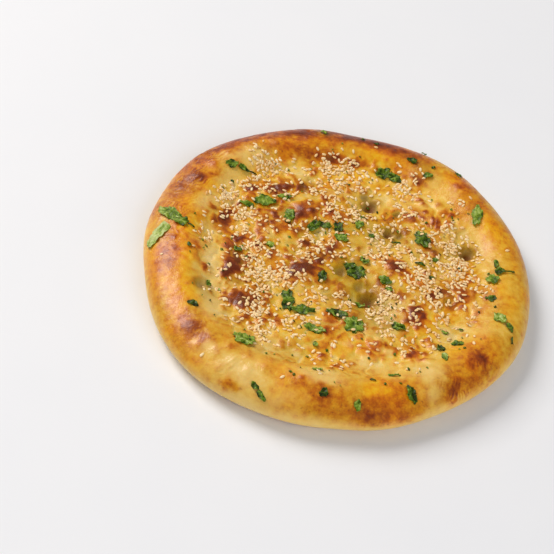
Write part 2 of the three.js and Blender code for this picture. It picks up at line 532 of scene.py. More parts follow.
# where the oven browned it, a few of the spots partly painted shade: x, y, radius, how much, stretch, heading
brownSpots = [
    # the left of the middle
    # the first spot lies on the right side of a blister, away from the light: partly browning, partly painted
    # shade
    (-57.5, -19.5, 5.8, 0.52, 1.3, 80), (-60.0, -6.0, 4.0, 0.30, 1.6, 80),
    (-48.0, -38.5, 5.6, 0.60, 1.7, 0), (-57.0, 6.0, 4.6, 0.34, 1.8, -15), (-56.0, 44.0, 3.2, 0.48, 1.6, 90),
    (-64.0, 32.0, 2.8, 0.34, 1, 0), (-41.5, 50.0, 3.8, 0.46, 1.3, 10), (-25.0, 53.5, 3.4, 0.30, 1.3, 0),
    (-25.5, 33.5, 3.2, 0.34, 1.6, 80), (-70.0, 16.0, 4.0, 0.42, 1.3, 70), (-46.0, 18.5, 3.4, 0.38, 1.2, 30),
    (-47.0, 3.0, 2.8, 0.34, 1, 0), (-39.0, -1.0, 3.4, 0.38, 1.2, 0), (-20.0, -9.5, 4.8, 0.54, 1.8, 20),
    (-43.0, -12.0, 8.0, 0.20, 1.2, 0),
    # the spots at -85, 41 and -79, 45.5 darken the groove under the far-left rim: partly browning, partly
    # painted shade
    (-12.0, -1.0, 3.6, 0.40, 1.2, 40), (-85.0, 41.0, 2.6, 0.42, 1.6, 25), (-79.0, 45.5, 1.9, 0.42, 3.2, 22),
    (-28.0, -48.0, 4.0, 0.30, 1.2, 0), (-33.0, -43.0, 3.4, 0.24, 1, 0),
    (-74.0, -67.0, 5.0, 0.24, 1.4, -45), (-67.0, -73.0, 5.0, 0.28, 1.4, -40), (-8.0, 35.0, 4.4, 0.26, 1, 0),
    (-4.0, 12.0, 4.6, 0.36, 1.2, 0), (-31.0, 22.0, 5.0, 0.18, 1.3, 40), (-2.0, 50.0, 4.0, 0.18, 1.4, 0),
    (-41.0, 26.0, 6.0, 0.42, 1.2, 0), (-49.0, 7.0, 6.4, 0.28, 1.7, 10), (-67.0, 23.0, 5.4, 0.34, 1.3, 60),
    (-8.0, 4.0, 6.0, 0.28, 1.4, 30), (-30.0, -12.0, 6.0, 0.18, 1.4, 0), (-22.0, 34.0, 7.0, 0.12, 1.2, 0),
    (-25.0, 55.0, 3.4, 0.26, 1.6, 0),
    (-57.0, 47.0, 4.0, 0.34, 1.2, 0), (-2.0, 40.0, 6.0, 0.20, 1.2, 0), (-24.0, 8.0, 5.0, 0.22, 1.4, 0),
    (-33.0, 60.0, 4.0, 0.18, 1.6, 0), (-47.0, 69.0, 7.0, 0.22, 1.4, 20),
    (-55.0, -10.0, 5.0, 0.22, 1.2, 0), (-47.0, -54.0, 3.2, 0.36, 1.6, 0),
    (-16.0, -17.0, 5.0, 0.30, 1.2, 40), (-25.0, 27.0, 6.0, 0.26, 1.2, 0), (-62.0, 30.0, 5.5, 0.22, 1.2, 0),
    (-16.0, 55.0, 6.0, 0.16, 1.3, 0),
    # the right of the middle
    (47.0, 67.0, 6.0, 0.16, 1.3, -30), (73.0, 32.0, 6.0, 0.12, 1.2, 0), (40.0, -65.0, 8.0, 0.08, 1.2, 0),
    (34.5, 5.0, 4.2, 0.60, 1.5, -20), (24.5, 9.0, 3.4, 0.48, 1.3, -10), (38.0, 74.0, 4.4, 0.40, 1.2, 0),
    (46.0, -27.0, 4.2, 0.52, 1.4, 80), (46.0, -27.0, 8.0, 0.16, 1.0, 0), (38.0, -14.0, 4.2, 0.42, 1.1, 0),
    (54.0, -8.0, 3.6, 0.44, 1.3, 0), (58.0, -11.0, 6.0, 0.18, 1.3, 0), (70.0, -12.0, 5.0, 0.24, 1.3, 0),
    (69.0, -1.0, 4.6, 0.24, 1.4, 0),
    (22.0, -56.0, 5.0, 0.42, 2.0, -8), (46.5, -56.5, 5.0, 0.26, 1.3, 0), (2.0, -43.0, 4.6, 0.22, 1.2, 80),
    (55.0, 55.0, 5.0, 0.24, 1.3, 0), (51.0, 45.0, 4.6, 0.28, 1.4, 0), (64.0, 52.0, 4.2, 0.28, 1.4, 0),
    (66.0, 72.0, 6.0, 0.22, 1.3, -40), (76.0, 62.0, 3.6, 0.22, 1.4, -50), (-5.0, -72.0, 3.6, 0.20, 1, 0),
    (30.0, 48.5, 3.4, 0.36, 1.3, 0), (45.0, 28.0, 8.0, 0.10, 1, 0), (57.0, -33.0, 8.0, 0.14, 1, 0),
    # the inner foot of the far rim: dark lines in the crease there, partly browning and partly painted shade
    (-14.0, 79.5, 2.6, 0.50, 3.6, 0), (4.0, 80.5, 2.4, 0.50, 2.6, 5), (-38.0, 79.0, 3.0, 0.30, 1.6, 0),
    # the rim, going round from the left
    (-103.0, 28.0, 5.0, 0.18, 1.8, 70), (-94.0, 50.0, 5.0, 0.16, 1.8, 55), (-86.0, 65.0, 4.6, 0.30, 1.7, 45),
    (-77.0, 76.0, 4.6, 0.30, 1.7, 40), (-66.0, 84.0, 4.4, 0.28, 1.7, 30), (-53.0, 91.0, 5.0, 0.28, 1.6, 20),
    (-36.0, 94.0, 5.0, 0.30, 1.6, 10), (-20.0, 98.0, 4.8, 0.24, 1.8, 0), (-4.0, 100.0, 5.0, 0.26, 1.8, 0),
    (13.0, 98.0, 5.0, 0.26, 1.6, 0), (25.0, 96.0, 5.6, 0.18, 1.6, -10), (35.0, 92.0, 5.6, 0.14, 1.4, -20),
    (89.0, 40.0, 6.0, 0.14, 1.5, -60), (100.0, -8.0, 6.0, 0.08, 1.6, 90), (79.0, -47.0, 5.6, 0.30, 1.4, 60),
    (84.0, -55.0, 2.8, 0.42, 1.2, 0), (84.0, -57.0, 6.0, 0.18, 1.2, 60), (82.0, -67.0, 5.6, 0.12, 1.3, 40),
    (70.0, -76.0, 3.2, 0.38, 1.7, 85), (26.0, -100.0, 4.6, 0.30, 1.3, 80), (36.0, -101.0, 5.0, 0.18, 1.3, 0),
    (3.0, -94.0, 4.6, 0.22, 1.3, 0), (-11.0, -94.0, 4.6, 0.22, 1.2, 60), (-46.0, -98.0, 4.0, 0.34, 1.3, -15),
    (6.0, -103.0, 6.0, 0.10, 2.0, 0), (-21.0, -87.0, 5.0, 0.08, 1.4, 0), (40.0, -84.0, 5.0, 0.12, 1.4, 0),
    (52.0, -96.0, 5.0, 0.14, 1.6, 30), (-89.0, -17.0, 4.6, 0.14, 2.0, 88),
]

# longer stretches of the rim that took more heat: direction, spread, distance out, width, how much
rimBake = [
    (190, 24, 97, 5, 0.12), (186, 16, 92, 3.5, 0.16), (160, 11, 100, 7, 0.16), (144, 11, 101, 7, 0.14),
    (127, 12, 101, 8, 0.18), (108, 12, 100, 8, 0.20),
    (90, 13, 97, 9, 0.20), (70, 12, 98, 8, 0.14), (50, 8, 98, 7, 0.08), (28, 12, 98, 7, 0.04),
    (318, 12, 97, 9, 0.10), (292, 12, 101, 7, 0.10), (270, 12, 99, 7, 0.05), (221, 8, 97, 8, 0.04),
    (350, 22, 99, 10, -0.10), (92, 16, 79, 4, 0.13), (112, 10, 84, 4, 0.14),
]

# saturated golden-orange stretches of the crust, in the columns of the brown spots; those on the inner slopes
# of the left and right rim are also painted light, lighter where the slope faces away from the lamps
goldenAndLitBands = [
    (-91.0, 14.0, 6.0, 0.9, 1.6, 80), (-88.0, -4.0, 5.6, 1.0, 1.8, 85), (-87.0, -24.0, 5.6, 1.0, 2.0, 90),
    (-84.0, -44.0, 5.6, 0.9, 1.6, 105), (-73.0, -47.0, 4.6, 0.7, 1.2, 20), (-37.0, 71.0, 5.0, 0.9, 1.4, 0),
    (0.0, 91.0, 6.0, 0.9, 3.0, 0), (22.0, 87.0, 4.0, 0.6, 2.2, 0), (-57.0, 79.0, 5.0, 0.7, 1.6, 25),
    (56.0, 82.0, 6.0, 0.6, 1.6, -40), (60.0, -30.0, 8.0, 0.7, 1.2, 0), (70.0, -52.0, 8.0, 0.7, 1.2, 0),
    (81.0, 45.0, 5.0, 0.9, 1.4, -60), (-6.0, -84.0, 6.0, 0.6, 1.8, 0), (34.0, -86.0, 6.0, 0.7, 1.8, 5),
    (-62.0, -54.0, 4.0, 0.5, 1.0, 0), (23.0, 68.0, 6.0, 0.4, 1.6, 0), (0.0, -62.0, 9.0, 0.4, 1.6, 0),
    (-35.0, 8.0, 6.0, 0.4, 1.4, 0), (88.0, 46.0, 8.0, 0.6, 1.3, -60), (67.0, 71.0, 7.0, 1.0, 1.5, -45),
    (22.0, -57.0, 5.0, 1.0, 2.0, -8), (56.0, -32.0, 8.0, 0.8, 1.4, 20), (59.0, 50.0, 6.0, 0.9, 1.3, 0),
    (30.0, -84.0, 6.0, 0.9, 2.4, 5), (-26.0, -84.0, 4.0, 0.9, 2.6, -8), (-52.0, 5.0, 6.0, 0.9, 1.8, 10),
    (8.0, 67.0, 6.0, 0.7, 1.6, 0), (-30.0, 68.0, 6.0, 0.8, 1.6, 10), (0.0, -70.0, 5.0, 0.9, 1.8, 0),
    (-82.0, -16.0, 6.5, 1.0, 2.4, 88), (-104.0, -27.0, 4.5, 0.9, 2.8, 100), (-69.0, -3.0, 5.0, 0.8, 1.4, 80),
    (-79.0, -40.0, 4.4, 0.9, 1.6, 100), (-80.0, 14.0, 4.0, 0.7, 1.4, 75),
    (88.0, 39.0, 7.0, 1.0, 1.4, -60), (70.0, -12.0, 6.0, 1.0, 1.2, 0), (46.0, -57.0, 5.0, 0.9, 1.4, 0),
    (-4.0, -42.0, 5.0, 0.9, 1.0, 0), (72.0, -48.0, 7.0, 0.9, 1.4, 10), (-50.0, 86.0, 7.0, 0.6, 1.6, 20),
]

# pale doughy places that the heat missed, in the same columns; the two on the near rim's inner lip, at -4,
# -84 and 2, -88, are also a painted highlight
paleAndHighlightSpots = [
    (-74.0, 30.0, 4.6, 0.8, 1.2, 0), (-70.0, -10.0, 5.4, 0.9, 1.3, 80), (-60.0, -27.0, 5.0, 0.7, 1.4, -20),
    (-62.0, -50.0, 5.0, 0.7, 1.4, 90), (-65.0, 51.0, 5.0, 0.5, 1.4, 0), (-30.0, -68.0, 8.0, 0.8, 1.6, -5),
    (32.0, -68.0, 8.0, 0.6, 2.2, 0), (28.0, -34.0, 6.0, 0.8, 1.8, -5), (58.0, -73.0, 5.0, 0.7, 1.4, 10),
    (25.0, 55.0, 5.0, 0.7, 1.6, 0), (62.0, 42.0, 5.0, 0.6, 1.3, 0), (66.0, 35.0, 6.0, 0.6, 1.4, 60),
    (-28.0, 66.0, 5.0, 0.4, 1.5, 0), (20.0, 20.0, 6.0, 0.4, 1.4, 0), (-54.0, -92.0, 8.0, 0.4, 1.5, -30),
    (0.0, -26.0, 5.0, 0.5, 1.5, 0), (52.0, -66.0, 6.0, 0.4, 1.5, 0), (33.0, -23.0, 5.0, 0.6, 1.6, 0),
    (70.0, -38.0, 6.0, 0.5, 1.5, 0), (-42.0, -88.0, 6.0, 0.4, 1.2, 0), (82.0, -30.0, 6.0, 0.4, 1.3, 0),
    (-18.0, -14.0, 4.0, 0.4, 1.5, 0), (-34.0, 66.0, 5.0, 0.5, 1.4, 0),
    (-4.0, -84.0, 4.4, 1.0, 2.4, 5), (-80.0, 23.0, 4.0, 0.9, 1.4, 70), (0.0, -40.0, 5.0, 0.8, 1.3, 0),
    (-74.0, 62.0, 4.0, 0.8, 2.2, 45), (-58.0, 70.0, 4.0, 0.6, 2.0, 25), (22.0, -46.0, 5.0, 0.6, 1.4, 0),
    (2.0, -88.0, 5.0, 1.0, 1.6, 0), (50.0, 72.0, 5.0, 0.5, 1.4, -30), (-78.0, -5.0, 3.6, 0.4, 1.6, 85),
    (-60.0, -79.0, 2.6, 0.5, 1.3, -40), (-50.0, -85.0, 2.8, 0.8, 1.3, -30), (-66.0, -78.0, 4.0, 0.6, 1.2, 0),
    (58.0, -83.0, 4.4, 0.6, 1.2, 0), (-38.0, -92.0, 4.0, 0.8, 1.4, -20),
    (-69.0, -20.0, 4.2, 1.0, 2.2, 80), (-73.0, 6.0, 3.6, 0.7, 1.6, 80),
    (-68.0, -33.0, 4.0, 0.7, 1.3, 80), (-64.0, -46.0, 5.4, 0.9, 1.7, 100), (-36.0, -99.0, 7.0, 0.5, 2.0, -25),
    (-14.0, -103.0, 6.0, 0.4, 2.0, -5), (46.0, 24.0, 5.0, 0.8, 1.3, 0), (38.0, -24.0, 5.0, 0.8, 1.5, 0),
    (20.0, 9.0, 5.0, 0.6, 1.3, 0), (42.0, 60.0, 5.0, 0.6, 1.4, 0), (5.0, 62.0, 5.0, 0.5, 1.4, 0),
    (-72.0, 44.0, 3.6, 0.8, 1.4, 20), (-58.0, 65.0, 4.4, 0.8, 1.4, 20),
]

# olive patches of the crust: x, y, radius, how much; those on and round the craters also paint the shade in
# them
oliveAndShadeSpots = [
    (-71.5, -38.0, 5.0, 0.9), (-18.0, -66.0, 6.0, 0.5), (2.5, -3.0, 5.0, 0.9), (29.0, -22.0, 6.0, 0.5),
    (22.0, -36.0, 7.0, 0.4), (14.0, -13.0, 5.0, 0.7), (36.0, -38.0, 4.0, 0.6), (-39.0, 5.0, 3.4, 0.8),
    (-56.5, -3.0, 3.0, 0.5), (-24.0, 61.0, 4.0, 0.7), (7.0, 31.0, 5.0, 0.6), (63.0, -12.0, 4.0, 0.6),
    (66.0, 41.0, 4.0, 0.5), (-35.0, -72.0, 6.0, 0.3), (8.0, 2.0, 5.0, 0.8), (-20.0, 97.0, 3.6, 0.6),
    (-1.0, -23.0, 4.0, 0.8), (64.0, -35.0, 4.6, 0.5), (52.0, 10.0, 4.0, 0.6), (44.0, 80.0, 4.0, 0.4),
    (12.0, 53.0, 7.0, 0.7), (28.0, 32.0, 7.5, 0.8), (71.0, 28.0, 8.0, 0.9), (18.0, -17.0, 8.0, 0.8),
    (6.0, 16.0, 5.0, 0.5), (4.0, -1.0, 6.5, 0.8), (-20.0, 20.0, 5.0, 0.5), (56.0, 26.0, 5.0, 0.5),
    (40.0, 84.0, 4.0, 0.6),
    (9.0, 37.0, 8.0, 0.45), (19.0, 26.0, 8.0, 0.4), (16.0, -26.0, 8.0, 0.4), (24.0, -34.0, 8.0, 0.3),
]

crustLook = {
    "plain": 0.43,              # browning of the plain crust, 0 dough to 1 charred
    "mottle": 0.24,
    "toasted": 0.18,            # smaller patches, only in the middle
    "proud": 0.16,              # extra browning for each mm that stands proud
    "tips": 0.45,               # the same for small wrinkles and bubbles
    "spots": 0.76,              # strength of all the listed brown spots
    "palePlaces": 0.20,         # how much less brown the pale places are
    "paleSide": 0.42,           # how much less brown the foot of the side is
    "sideCream": 1.1,           # and how creamy
    "goldPlain": 0.30,          # golden tone of the plain crust
    "goldBand": 0.6,
    "goldBrown": 0.07,          # the golden stretches are a little less brown
    "goldMottle": 0.60,
    "hollowShade": 1.2,              # painted shade: olive darkening for each mm that lies low
    "wallBrown": 0.10,          # extra browning of the underside, which lay on the oven wall
    "wallMottle": 0.34,
    "pitDepth": 2.6,            # a crater this deep gets the darkest floor, painted shade included
}


def crustLie(points, faces):
    # how each point of the crust lies: how far out, which way it faces, how proud of what is round it
    normals = vertexNormals(points, faces)
    near = neighbourAverage(points, faces, 8)
    around = neighbourAverage(near, faces, 52)
    radius = np.hypot(points[:, 0], points[:, 1])
    return {
        "radius": radius,
        "middle": 1.0 - smoothStep(radius, 78.0, 92.0),
        "side": smoothStep(radius, 86.0, 96.0),
        "under": 1.0 - smoothStep(normals[:, 2], -0.97, -0.75),
        "tips": np.clip(((points - near) * normals).sum(axis=1), -0.25, 0.25),
        "proud": np.clip(((points - around) * normals).sum(axis=1), -1.5, 1.5),
    }


def paintBrown(points, lie, look):
    # browning of the top and side, a few spots of it partly painted shade, before the pale and golden places
    # are taken off
    middle = lie["middle"]
    brown = np.full(len(points), look["plain"])
    brown += look["mottle"] * layeredNoise(points, 13.0, 51, 3) * (0.35 + 0.35 * middle)
    brown += look["toasted"] * layeredNoise(points, 6.0, 57, 2) * middle
    brown += look["proud"] * lie["proud"] * (0.3 + 0.7 * middle) + look["tips"] * lie["tips"]
    ragged = 1.0 + 0.40 * layeredNoise(points, 4.6, 61, 2)
    baked = np.zeros(len(points))
    for x, y, size, amount, stretch, heading in brownSpots:
        spot = spotWeight(points, x, y, size, stretch, heading) * ragged
        baked += amount * look["spots"] * np.clip(spot, 0.0, 1.2)
    direction = np.degrees(np.arctan2(points[:, 1], points[:, 0]))
    for at, spread, distance, width, amount in rimBake:
        apart = (direction - at + 180.0) % 360.0 - 180.0
        spot = np.exp(-(apart / spread) ** 2 - ((lie["radius"] - distance) / width) ** 2)
        baked += amount * ragged * spot
    return brown + baked * (1.0 - lie["under"])


def paintPitBrownAndShade(points, look):
    # the dark floors of the craters: partly baked brown and partly painted shade, deeper craters painted
    # darker
    pit = np.zeros(len(points))
    for x, y, size, depth in craters:
        span = craterSpan(points, x, y, size, 0.3, 3.5, 96)
        pit = np.maximum(pit, min(1.0, depth / look["pitDepth"]) * (1.0 - smoothStep(span, 0.1, 1.45)))
    return pit


def paintCrust(points, faces, look):
    lie = crustLie(points, faces)
    middle, under = lie["middle"], lie["under"]
    upper = 1.0 - under
    brown = paintBrown(points, lie, look)
    pale = spotsTotal(points, paleAndHighlightSpots)
    pale += 1.3 * np.clip(layeredNoise(points, 7.0, 68, 2) - 0.40, 0.0, 0.6) * middle
    pale = np.clip(pale * (0.85 + 0.35 * layeredNoise(points, 5.0, 66, 2)), 0.0, 1.2) * upper
    brown -= look["palePlaces"] * pale
    # the foot of the side rested in its own shade and stayed pale, the underside lay on the hot wall
    footPale = 1.0 - smoothStep(points[:, 2] + 1.8 * softNoise(points, 12.0, 71), 4.0, 15.0)
    foot = footPale * lie["side"] * upper
    brown -= look["paleSide"] * foot
    pale += look["sideCream"] * foot
    brown += under * (look["wallBrown"] + look["wallMottle"] * layeredNoise(points, 15.0, 75, 3))
    # golden stretches, some of them painted light on the inner slopes of the rim
    band = spotsTotal(points, goldenAndLitBands)
    golden = look["goldPlain"] + look["goldBand"] * band
    golden += look["goldMottle"] * layeredNoise(points, 10.0, 81, 2)
    brown -= look["goldBrown"] * band
    # olive tint: the listed patches, with painted shade round the craters among them, and random olive
    # patches in the middle
    green = spotsTotal(points, oliveAndShadeSpots)
    green += 0.35 * np.clip(layeredNoise(points, 8.0, 91, 2) - 0.55, 0.0, 1.0) * middle
    # painted shade: places lying low in the middle are tinted darker olive
    inside = 1.0 - smoothStep(lie["radius"], 58.0, 72.0)
    green += look["hollowShade"] * np.clip(-lie["proud"] - 0.08, 0.0, 1.0) * inside
    return {
        "brown": np.clip(brown, 0.0, 1.0),
        "golden": np.clip(golden, 0.0, 1.0),
        "green": np.clip(green, 0.0, 1.0) * upper,
        "cream": np.clip(pale, 0.0, 1.0) * (1.0 - smoothStep(brown, 0.45, 0.62)),
        "pit": np.clip(paintPitBrownAndShade(points, look), 0.0, 1.0) * upper,
    }


def crustMaterial():
    # browning picks the colour on two ramps, a plain one and a golden one
    sheet = NodeSheet("buttered baked crust")
    brown = sheet.painted("brown")
    blotch = sheet.remap(sheet.noise(3.6, 4.0), 0.3, 0.7, -0.11, 0.11)
    grain = sheet.remap(sheet.noise(1.1, 2.0), 0.3, 0.7, -0.035, 0.035)
    baked = sheet.maths("ADD", brown, sheet.maths("ADD", blotch, grain), clamp=True)
    dull = sheet.ramp(baked, [
        (0.00, (240, 208, 140)), (0.20, (234, 192, 92)), (0.38, (224, 174, 52)), (0.52, (212, 147, 22)),
        (0.66, (188, 108, 4)), (0.80, (152, 70, 2)), (0.92, (124, 50, 2)), (1.00, (104, 38, 2)),
    ])
    bright = sheet.ramp(baked, [
        (0.00, (240, 206, 112)), (0.20, (238, 188, 40)), (0.38, (232, 166, 4)), (0.52, (222, 137, 0)),
        (0.66, (194, 98, 0)), (0.80, (154, 64, 0)), (0.92, (124, 47, 0)), (1.00, (104, 36, 0)),
    ])
    colour = sheet.mix(sheet.painted("golden"), dull, bright)
    # the cream tint also carries a painted highlight on the near rim's inner lip, and the green and pit tints
    # carry painted shade in low places and craters
    for key, strength, tint in (
        ("cream", 0.55, (238, 204, 130)),
        ("green", 0.60, (158, 132, 14)),
        ("pit", 0.94, (120, 62, 0)),
    ):
        share = sheet.maths("MULTIPLY", sheet.painted(key), strength)
        colour = sheet.mix(share, colour, srgb(*tint))
    # toasted freckles, most on the browned places
    freckle = sheet.remap(sheet.noise(1.3, 1.0), 0.60, 0.74, 0.0, 1.0)
    freckle = sheet.maths("MULTIPLY", freckle, sheet.remap(baked, 0.40, 0.72, 0.04, 0.55))
    colour = sheet.mix(freckle, colour, srgb(120, 58, 24))
    pores = sheet.noise(0.55, 3.0)
    skin = sheet.noise(2.2, 3.0)
    fine = sheet.bump(pores, 0.14, 0.6)
    broad = sheet.bump(skin, 0.35, 0.6, under=fine)
    gloss = sheet.remap(sheet.noise(5.0, 2.0), 0.3, 0.7, 0.28, 0.40)
    gloss = sheet.maths("ADD", gloss, sheet.maths("MULTIPLY", sheet.painted("pit"), 0.45))
    sheet.set(Base_Color=colour, Roughness=gloss, Normal=broad)
    sheet.set(Subsurface_Weight=0.12, Subsurface_Radius=(1.0, 0.5, 0.2), Subsurface_Scale=2.2 * mm)
    sheet.set(Specular_IOR_Level=0.46)
    return sheet.material


skinPoints, skinFaces = breadSkin(crustShape)
skinPoints = addRelief(skinPoints, skinFaces, crustShape)
skinPaint = paintCrust(skinPoints, skinFaces, crustLook)
crust = makePiece("crust", skinPoints, skinFaces, skinPaint, crustMaterial())
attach(crust, "root")
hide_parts("bread")
print(f"crust made: {len(skinFaces)} triangles")


def surfaceTree(points, faces):
    # the tree in which rays look for a surface
    return BVHTree.FromPolygons([Vector(p) for p in points], [tuple(f) for f in faces.tolist()])


def fromAbove(tree, x, y):
    # the first point of the surface on the way down at a place, None beside it
    return tree.ray_cast(Vector((x, y, crustShape["wellAbove"])), Vector((0.0, 0.0, -1.0)))[0]


def surfaceAt(tree, x, y, reach):
    # the surface at a place, with a normal that ignores the bumps finer than reach
    hit = fromAbove(tree, x, y)
    if hit is None:
        return None, None
    sides = []
    for dx, dy in ((reach, 0.0), (0.0, reach), (-reach, 0.0), (0.0, -reach)):
        found = fromAbove(tree, x + dx, y + dy)
        if found is None:
            return None, None
        sides.append(found)
    normal = (sides[0] - sides[2]).cross(sides[1] - sides[3]).normalized()
    return hit, normal


crustTree = surfaceTree(skinPoints, skinFaces)

# chopped coriander

coriander = {
    "thickness": 0.28,
    "lift": 0.25,               # above what it lies on
    "lowest": 0.12,             # no point of its top lies lower than this
    "crinkle": 0.80,
    "rings": 6,                 # rings of points in a leaf
    "points": 72,               # points in a ring
    "fold": 0.7,                # each lobe is creased along its middle
    "grow": 1.22,               # times the sizes listed below
    "reach": 2.4,               # bumps finer than this don't tilt a leaf
    "standOff": 12.0,           # rays for a leaf's points start this far above it
    "leafSeed": 31,
    "crumbs": 130,              # tiny green bits between the leaves
    "crumbReach": 92.0,         # none lies further out than this
    "crumbSeed": 37,
}
stemLook = {**coriander, "thickness": 0.6, "lift": 0.7, "crinkle": 0.1, "rings": 3, "points": 16}
crumbLook = {**coriander, "crinkle": 0.25, "rings": 1, "points": 9}

# leaves: x, y, length, width, heading, colour from 0 dark to 1 pale, lobes, curl of the edge
leaves = [
    # the first leaf's pale tone is partly a painted sheen
    (-101.5, -8.0, 18.5, 9.5, 50, 0.98, 2, 0.6), (-96.0, 8.0, 15.0, 9.0, -35, 0.66, 4, 1.8),
    (-90.0, 3.0, 11.0, 7.0, -25, 0.44, 4, 1.5), (-69.0, 57.5, 8.5, 5.5, 20, 0.40, 4, 1.4),
    (-62.5, 57.5, 7.5, 3.6, -15, 0.34, 3, 1.4), (-46.5, 37.5, 12.0, 7.6, 15, 0.42, 4, 0.9),
    (-56.5, 33.0, 8.5, 3.6, -8, 0.40, 3, 0.9), (-31.5, 30.0, 6.5, 10.5, 10, 0.34, 3, 0.8),
    (-17.0, 25.5, 9.0, 5.5, 60, 0.26, 4, 1.6), (-11.0, 28.0, 9.0, 4.6, -10, 0.26, 4, 1.4),
    (-3.0, 28.0, 5.5, 9.0, 10, 0.16, 4, 1.2), (-0.5, 20.5, 8.0, 6.5, -20, 0.50, 4, 0.8),
    (9.0, 33.0, 5.0, 8.0, 0, 0.44, 3, 0.8), (11.0, 39.5, 4.4, 3.2, 0, 0.22, 3, 0.6),
    (16.5, 26.5, 4.0, 3.0, -20, 0.16, 3, 0.6), (18.5, 77.0, 10.0, 8.5, 0, 0.30, 5, 1.3),
    (26.0, 74.5, 9.0, 6.0, -12, 0.30, 4, 1.2), (34.0, 87.5, 7.0, 3.8, -20, 0.12, 3, 0.8),
    (44.5, 78.5, 6.0, 4.2, -10, 0.34, 3, 0.7), (47.0, 84.5, 2.6, 1.8, 0, 0.20, 3, 0.4),
    (62.0, 83.5, 5.0, 3.0, -40, 0.20, 3, 0.5), (75.5, 52.0, 6.0, 14.5, 4, 0.52, 5, 0.9),
    (46.0, 31.0, 9.2, 11.5, 10, 0.34, 5, 0.9), (87.5, 7.0, 7.5, 7.0, 30, 0.55, 4, 1.4),
    (90.5, 12.5, 5.5, 5.0, 0, 0.34, 3, 1.2), (88.5, 19.0, 2.6, 7.5, 8, 0.40, 2, 0.8),
    (12.0, -2.5, 11.0, 9.0, -20, 0.30, 5, 1.0), (6.5, 1.5, 7.0, 5.0, 20, 0.24, 3, 0.8),
    (14.5, 7.0, 5.0, 6.0, 0, 0.44, 3, 0.8), (27.0, -5.5, 8.0, 6.0, -15, 0.36, 4, 0.9),
    (53.0, 2.5, 4.0, 3.0, 0, 0.40, 3, 0.5), (-7.5, -12.0, 6.0, 9.0, 0, 0.18, 4, 1.0),
    (-23.5, -32.5, 8.0, 14.5, 8, 0.30, 5, 1.1), (-15.5, -37.5, 13.0, 6.8, 0, 0.32, 4, 1.0),
    (3.0, -35.0, 13.0, 5.6, -12, 0.36, 4, 1.1), (14.0, -42.5, 11.0, 12.0, 0, 0.48, 6, 0.9),
    (-6.5, -49.5, 13.0, 5.6, -6, 0.54, 5, 1.0), (37.0, -37.5, 8.5, 5.5, -15, 0.38, 3, 0.4),
    (-44.0, -69.5, 12.5, 12.0, 20, 0.60, 5, 1.2), (-73.0, -53.5, 6.2, 4.0, -10, 0.12, 3, 0.5),
    (-68.0, -34.0, 3.6, 3.6, 0, 0.30, 3, 0.6), (92.0, -23.5, 8.5, 7.0, -30, 0.56, 4, 1.2),
    (97.5, -28.5, 5.5, 4.0, -50, 0.24, 3, 0.9), (99.0, -36.0, 1.2, 4.4, 10, 0.10, 2, 0.4),
    (70.5, -44.0, 8.0, 4.4, 0, 0.40, 4, 0.9), (61.5, -49.0, 4.2, 5.0, 0, 0.10, 3, 0.4),
    (64.0, -57.0, 3.6, 8.0, 6, 0.66, 3, 0.6), (47.5, -85.5, 6.0, 11.0, 20, 0.28, 4, 1.0),
    (56.0, -91.5, 6.4, 10.5, 10, 0.28, 4, 1.0), (20.5, -99.5, 4.0, 6.0, 0, 0.46, 3, 0.8),
    (-33.0, -98.0, 5.0, 3.6, -50, 0.40, 3, 0.8), (-29.0, -102.0, 7.0, 3.4, -52, 0.26, 3, 0.8),
    (2.5, -97.0, 4.6, 5.0, 0, 0.10, 3, 0.7), (87.0, -8.0, 4.6, 5.0, 0, 0.36, 3, 0.6),
    (-82.5, -14.0, 2.4, 4.2, 0, 0.14, 2, 0.4), (-56.5, -3.0, 5.0, 3.4, -10, 0.34, 3, 0.6),
    (-5.5, -60.0, 3.0, 5.0, 10, 0.46, 3, 0.6), (-3.0, -81.5, 6.0, 2.6, -8, 0.62, 3, 0.5),
    (38.0, -75.5, 7.0, 1.8, 5, 0.34, 3, 0.4), (27.0, -82.0, 3.0, 1.4, 0, 0.20, 2, 0.4),
    (46.0, 11.0, 6.5, 2.6, -12, 0.16, 3, 0.6), (54.0, 16.0, 3.4, 3.0, 0, 0.28, 3, 0.5),
    (31.0, 26.0, 5.0, 1.3, 8, 0.10, 2, 0.3), (-36.0, 44.0, 8.0, 4.0, 10, 0.50, 4, 1.2),
    (12.0, 96.5, 3.2, 2.4, 0, 0.14, 3, 0.4), (41.0, 98.5, 3.2, 2.0, -30, 0.16, 3, 0.4),
    (-67.0, 46.0, 2.6, 2.6, 0, 0.40, 3, 0.5), (-20.0, 97.0, 3.6, 3.6, 0, 0.42, 3, 0.5),
    (30.0, -12.0, 5.0, 3.4, -10, 0.50, 3, 0.7), (63.0, -35.5, 4.4, 2.2, -10, 0.40, 3, 0.5),
    (72.0, -32.0, 2.4, 1.8, 0, 0.20, 2, 0.4), (15.0, -25.0, 6.0, 3.4, 0, 0.50, 3, 0.8),
    (-39.0, 5.0, 4.2, 4.2, 0, 0.50, 3, 0.5), (4.0, 98.0, 2.0, 1.6, 0, 0.14, 2, 0.4),
]

# stems: from x, y to x, y, and width
stems = [
    (-60.0, 57.0, -54.5, 56.0, 0.8), (91.0, 12.5, 98.0, 13.6, 0.8), (97.2, 13.5, 98.6, 13.6, 1.3),
    (-86.0, 2.0, -82.0, 1.0, 0.7), (98.6, -33.0, 99.2, -38.0, 0.8),
]


